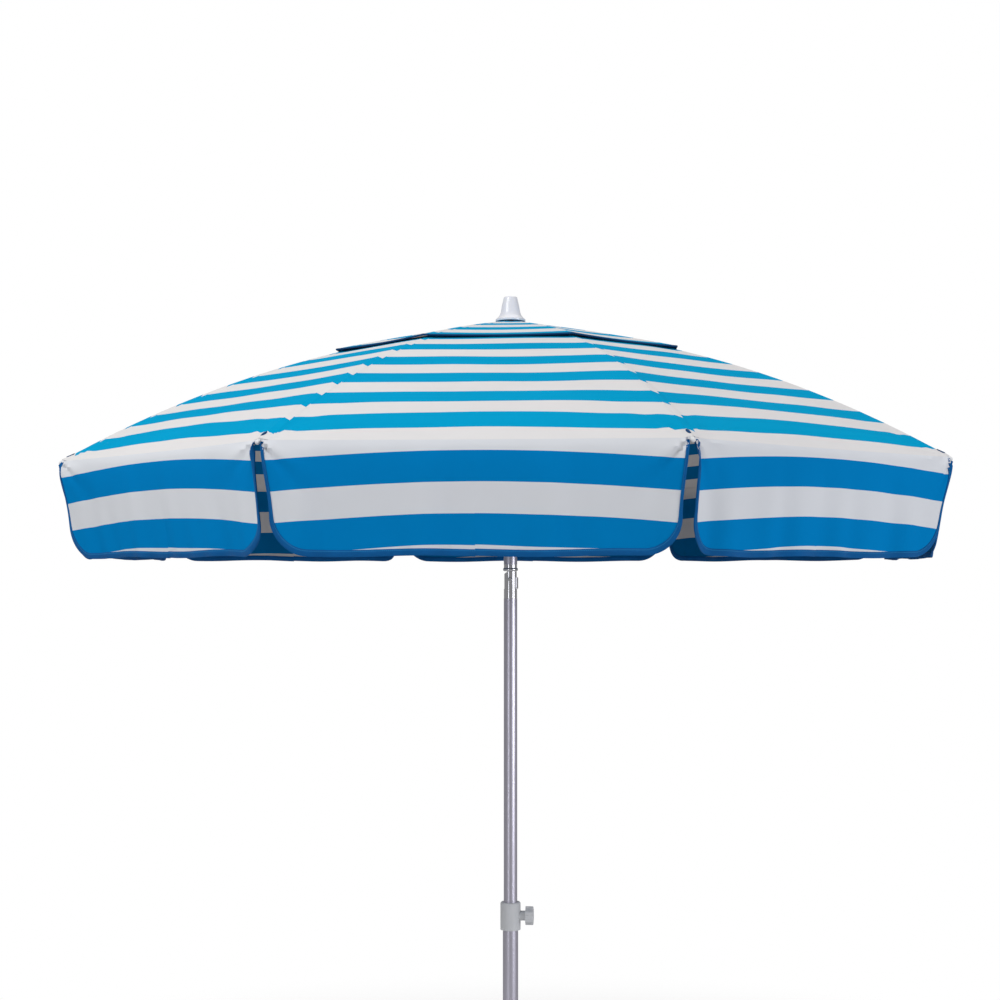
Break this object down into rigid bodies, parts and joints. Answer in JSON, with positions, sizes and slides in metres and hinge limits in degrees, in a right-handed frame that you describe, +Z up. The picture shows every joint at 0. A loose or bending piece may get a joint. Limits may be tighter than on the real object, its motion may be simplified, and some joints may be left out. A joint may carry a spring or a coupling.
{
  "type": "beach umbrella",
  "caption": "Beach umbrella with a striped, vented, valanced canopy on folding ribs, and a tilting pole whose height slides and clamps.",
  "frame": {"origin": "tip of the ground spike, on the pole's axis", "axes": "+Z up along the pole; panel centres on the X and Y axes and their diagonals; the canopy tilts towards -X"},
  "size_m": [1.8598, 1.8598, 2.1546],
  "materials": {
    "canopy_cloth": "woven polyester in turquoise blue and white stripes that run level round the canopy",
    "valance_cloth": "the same striped cloth, bound at its hem with blue tape",
    "rib_paint": "white enamelled steel rod",
    "white_plastic": "moulded white plastic",
    "finial_plastic": "slightly translucent white plastic",
    "grey_plastic": "moulded light grey plastic",
    "spike_plastic": "hard white plastic",
    "pole_aluminium": "drawn tube, dull from use",
    "chrome": "bright plated steel",
    "steel_wire": "galvanised wire"
  },
  "bodies": {
    "lower_pole": {"lower_pole": "pole_aluminium", "ground_spike": "spike_plastic", "height_collar": "grey_plastic"},
    "clamp_knob": {"clamp_knob": "grey_plastic"},
    "mid_pole": {"mid_pole": "pole_aluminium", "tilt_lower_socket": "chrome", "tilt_pin": "chrome"},
    "tilt_release_button": {"tilt_release_button": "chrome"},
    "upper_pole": {"tilt_upper_socket": "chrome", "upper_pole": "pole_aluminium", "crown_hub": "white_plastic", "crown_ring_wire": "steel_wire", "finial": "finial_plastic"},
    "rib_1": {"rib_1": "rib_paint", "rib_tip_1": "white_plastic", "canopy_panel_1": "canopy_cloth"},
    "rib_2": {"rib_2": "rib_paint", "rib_tip_2": "white_plastic", "canopy_panel_2": "canopy_cloth"},
    "rib_3": {"rib_3": "rib_paint", "rib_tip_3": "white_plastic", "canopy_panel_3": "canopy_cloth"},
    "rib_4": {"rib_4": "rib_paint", "rib_tip_4": "white_plastic", "canopy_panel_4": "canopy_cloth"},
    "rib_5": {"rib_5": "rib_paint", "rib_tip_5": "white_plastic", "canopy_panel_5": "canopy_cloth"},
    "rib_6": {"rib_6": "rib_paint", "rib_tip_6": "white_plastic", "canopy_panel_6": "canopy_cloth"},
    "rib_7": {"rib_7": "rib_paint", "rib_tip_7": "white_plastic", "canopy_panel_7": "canopy_cloth"},
    "rib_8": {"rib_8": "rib_paint", "rib_tip_8": "white_plastic", "canopy_panel_8": "canopy_cloth"},
    "valance_1": {"valance_panel_1": "valance_cloth"},
    "valance_2": {"valance_panel_2": "valance_cloth"},
    "valance_3": {"valance_panel_3": "valance_cloth"},
    "valance_4": {"valance_panel_4": "valance_cloth"},
    "valance_5": {"valance_panel_5": "valance_cloth"},
    "valance_6": {"valance_panel_6": "valance_cloth"},
    "valance_7": {"valance_panel_7": "valance_cloth"},
    "valance_8": {"valance_panel_8": "valance_cloth"},
    "stretcher_1": {"stretcher_1": "rib_paint"},
    "stretcher_2": {"stretcher_2": "rib_paint"},
    "stretcher_3": {"stretcher_3": "rib_paint"},
    "stretcher_4": {"stretcher_4": "rib_paint"},
    "stretcher_5": {"stretcher_5": "rib_paint"},
    "stretcher_6": {"stretcher_6": "rib_paint"},
    "stretcher_7": {"stretcher_7": "rib_paint"},
    "stretcher_8": {"stretcher_8": "rib_paint"},
    "runner": {"runner": "white_plastic", "runner_ring_wire": "steel_wire", "catch_pin": "steel_wire"},
    "runner_catch": {"runner_catch": "grey_plastic"}
  },
  "joints": [
    {"name": "height_slide", "type": "slide", "parent": "lower_pole", "child": "mid_pole", "axis": [0, 0, 1], "range_m": [-0.35, 0]},
    {"name": "clamp_knob_turn", "type": "hinge", "parent": "lower_pole", "child": "clamp_knob", "pos_m": [0.034, 0, 0.737], "axis": [1, 0, 0], "range_deg": [0, 270]},
    {"name": "tilt", "type": "hinge", "parent": "mid_pole", "child": "upper_pole", "pos_m": [0, 0, 1.502], "axis": [0, 1, 0], "range_deg": [-35, 0]},
    {"name": "tilt_release", "type": "slide", "parent": "mid_pole", "child": "tilt_release_button", "axis": [-1, 0, 0], "range_m": [0, 0.0022], "stiffness_N_per_m": 600},
    {"name": "canopy_fold", "type": "hinge", "parent": "upper_pole", "child": "rib_1", "pos_m": [0.02772, 0.01148, 2.078], "axis": [-0.3827, 0.9239, 0], "range_deg": [0, 68], "deforming": ["canopy_panel_1"]},
    {"name": "rib_2_fold", "type": "hinge", "parent": "upper_pole", "child": "rib_2", "pos_m": [0.01148, 0.02772, 2.078], "axis": [-0.9239, 0.3827, 0], "range_deg": [0, 68], "deforming": ["canopy_panel_2"]},
    {"name": "rib_3_fold", "type": "hinge", "parent": "upper_pole", "child": "rib_3", "pos_m": [-0.01148, 0.02772, 2.078], "axis": [-0.9239, -0.3827, 0], "range_deg": [0, 68], "deforming": ["canopy_panel_3"]},
    {"name": "rib_4_fold", "type": "hinge", "parent": "upper_pole", "child": "rib_4", "pos_m": [-0.02772, 0.01148, 2.078], "axis": [-0.3827, -0.9239, 0], "range_deg": [0, 68], "deforming": ["canopy_panel_4"]},
    {"name": "rib_5_fold", "type": "hinge", "parent": "upper_pole", "child": "rib_5", "pos_m": [-0.02772, -0.01148, 2.078], "axis": [0.3827, -0.9239, 0], "range_deg": [0, 68], "deforming": ["canopy_panel_5"]},
    {"name": "rib_6_fold", "type": "hinge", "parent": "upper_pole", "child": "rib_6", "pos_m": [-0.01148, -0.02772, 2.078], "axis": [0.9239, -0.3827, 0], "range_deg": [0, 68], "deforming": ["canopy_panel_6"]},
    {"name": "rib_7_fold", "type": "hinge", "parent": "upper_pole", "child": "rib_7", "pos_m": [0.01148, -0.02772, 2.078], "axis": [0.9239, 0.3827, 0], "range_deg": [0, 68], "deforming": ["canopy_panel_7"]},
    {"name": "rib_8_fold", "type": "hinge", "parent": "upper_pole", "child": "rib_8", "pos_m": [0.02772, -0.01148, 2.078], "axis": [0.3827, 0.9239, 0], "range_deg": [0, 68], "deforming": ["canopy_panel_8"]},
    {"name": "valance_1_hang", "type": "hinge", "parent": "rib_1", "child": "valance_1", "pos_m": [0.92388, 0.38268, 1.7531], "axis": [-0.3827, 0.9239, 0], "range_deg": [-68, 0], "deforming": ["valance_panel_1"]},
    {"name": "valance_2_hang", "type": "hinge", "parent": "rib_2", "child": "valance_2", "pos_m": [0.38268, 0.92388, 1.7531], "axis": [-0.9239, 0.3827, 0], "range_deg": [-68, 0], "deforming": ["valance_panel_2"]},
    {"name": "valance_3_hang", "type": "hinge", "parent": "rib_3", "child": "valance_3", "pos_m": [-0.38268, 0.92388, 1.7531], "axis": [-0.9239, -0.3827, 0], "range_deg": [-68, 0], "deforming": ["valance_panel_3"]},
    {"name": "valance_4_hang", "type": "hinge", "parent": "rib_4", "child": "valance_4", "pos_m": [-0.92388, 0.38268, 1.7531], "axis": [-0.3827, -0.9239, 0], "range_deg": [-68, 0], "deforming": ["valance_panel_4"]},
    {"name": "valance_5_hang", "type": "hinge", "parent": "rib_5", "child": "valance_5", "pos_m": [-0.92388, -0.38268, 1.7531], "axis": [0.3827, -0.9239, 0], "range_deg": [-68, 0], "deforming": ["valance_panel_5"]},
    {"name": "valance_6_hang", "type": "hinge", "parent": "rib_6", "child": "valance_6", "pos_m": [-0.38268, -0.92388, 1.7531], "axis": [0.9239, -0.3827, 0], "range_deg": [-68, 0], "deforming": ["valance_panel_6"]},
    {"name": "valance_7_hang", "type": "hinge", "parent": "rib_7", "child": "valance_7", "pos_m": [0.38268, -0.92388, 1.7531], "axis": [0.9239, 0.3827, 0], "range_deg": [-68, 0], "deforming": ["valance_panel_7"]},
    {"name": "valance_8_hang", "type": "hinge", "parent": "rib_8", "child": "valance_8", "pos_m": [0.92388, -0.38268, 1.7531], "axis": [0.3827, 0.9239, 0], "range_deg": [-68, 0], "deforming": ["valance_panel_8"]},
    {"name": "stretcher_1_pivot", "type": "hinge", "parent": "rib_1", "child": "stretcher_1", "pos_m": [0.39912, 0.16532, 1.98793], "axis": [-0.3827, 0.9239, 0], "range_deg": [-136, 0]},
    {"name": "stretcher_2_pivot", "type": "hinge", "parent": "rib_2", "child": "stretcher_2", "pos_m": [0.16532, 0.39912, 1.98793], "axis": [-0.9239, 0.3827, 0], "range_deg": [-136, 0]},
    {"name": "stretcher_3_pivot", "type": "hinge", "parent": "rib_3", "child": "stretcher_3", "pos_m": [-0.16532, 0.39912, 1.98793], "axis": [-0.9239, -0.3827, 0], "range_deg": [-136, 0]},
    {"name": "stretcher_4_pivot", "type": "hinge", "parent": "rib_4", "child": "stretcher_4", "pos_m": [-0.39912, 0.16532, 1.98793], "axis": [-0.3827, -0.9239, 0], "range_deg": [-136, 0]},
    {"name": "stretcher_5_pivot", "type": "hinge", "parent": "rib_5", "child": "stretcher_5", "pos_m": [-0.39912, -0.16532, 1.98793], "axis": [0.3827, -0.9239, 0], "range_deg": [-136, 0]},
    {"name": "stretcher_6_pivot", "type": "hinge", "parent": "rib_6", "child": "stretcher_6", "pos_m": [-0.16532, -0.39912, 1.98793], "axis": [0.9239, -0.3827, 0], "range_deg": [-136, 0]},
    {"name": "stretcher_7_pivot", "type": "hinge", "parent": "rib_7", "child": "stretcher_7", "pos_m": [0.16532, -0.39912, 1.98793], "axis": [0.9239, 0.3827, 0], "range_deg": [-136, 0]},
    {"name": "stretcher_8_pivot", "type": "hinge", "parent": "rib_8", "child": "stretcher_8", "pos_m": [0.39912, -0.16532, 1.98793], "axis": [0.3827, 0.9239, 0], "range_deg": [-136, 0]},
    {"name": "runner_pivot", "type": "hinge", "parent": "stretcher_1", "child": "runner", "pos_m": [0.02772, 0.01148, 1.89787], "axis": [-0.3827, 0.9239, 0], "range_deg": [0, 68]},
    {"name": "runner_catch_press", "type": "hinge", "parent": "runner", "child": "runner_catch", "pos_m": [0.0258, 0, 1.86687], "axis": [0, 1, 0], "range_deg": [0, 9], "stiffness_Nm_per_rad": 0.4}
  ],
  "couplings": [
    {"joint": "rib_2_fold", "follows": "canopy_fold", "ratio": 1},
    {"joint": "rib_3_fold", "follows": "canopy_fold", "ratio": 1},
    {"joint": "rib_4_fold", "follows": "canopy_fold", "ratio": 1},
    {"joint": "rib_5_fold", "follows": "canopy_fold", "ratio": 1},
    {"joint": "rib_6_fold", "follows": "canopy_fold", "ratio": 1},
    {"joint": "rib_7_fold", "follows": "canopy_fold", "ratio": 1},
    {"joint": "rib_8_fold", "follows": "canopy_fold", "ratio": 1},
    {"joint": "valance_1_hang", "follows": "canopy_fold", "ratio": -1},
    {"joint": "valance_2_hang", "follows": "canopy_fold", "ratio": -1},
    {"joint": "valance_3_hang", "follows": "canopy_fold", "ratio": -1},
    {"joint": "valance_4_hang", "follows": "canopy_fold", "ratio": -1},
    {"joint": "valance_5_hang", "follows": "canopy_fold", "ratio": -1},
    {"joint": "valance_6_hang", "follows": "canopy_fold", "ratio": -1},
    {"joint": "valance_7_hang", "follows": "canopy_fold", "ratio": -1},
    {"joint": "valance_8_hang", "follows": "canopy_fold", "ratio": -1},
    {"joint": "stretcher_1_pivot", "follows": "canopy_fold", "ratio": -2},
    {"joint": "stretcher_2_pivot", "follows": "canopy_fold", "ratio": -2},
    {"joint": "stretcher_3_pivot", "follows": "canopy_fold", "ratio": -2},
    {"joint": "stretcher_4_pivot", "follows": "canopy_fold", "ratio": -2},
    {"joint": "stretcher_5_pivot", "follows": "canopy_fold", "ratio": -2},
    {"joint": "stretcher_6_pivot", "follows": "canopy_fold", "ratio": -2},
    {"joint": "stretcher_7_pivot", "follows": "canopy_fold", "ratio": -2},
    {"joint": "stretcher_8_pivot", "follows": "canopy_fold", "ratio": -2},
    {"joint": "runner_pivot", "follows": "canopy_fold", "ratio": 1}
  ]
}
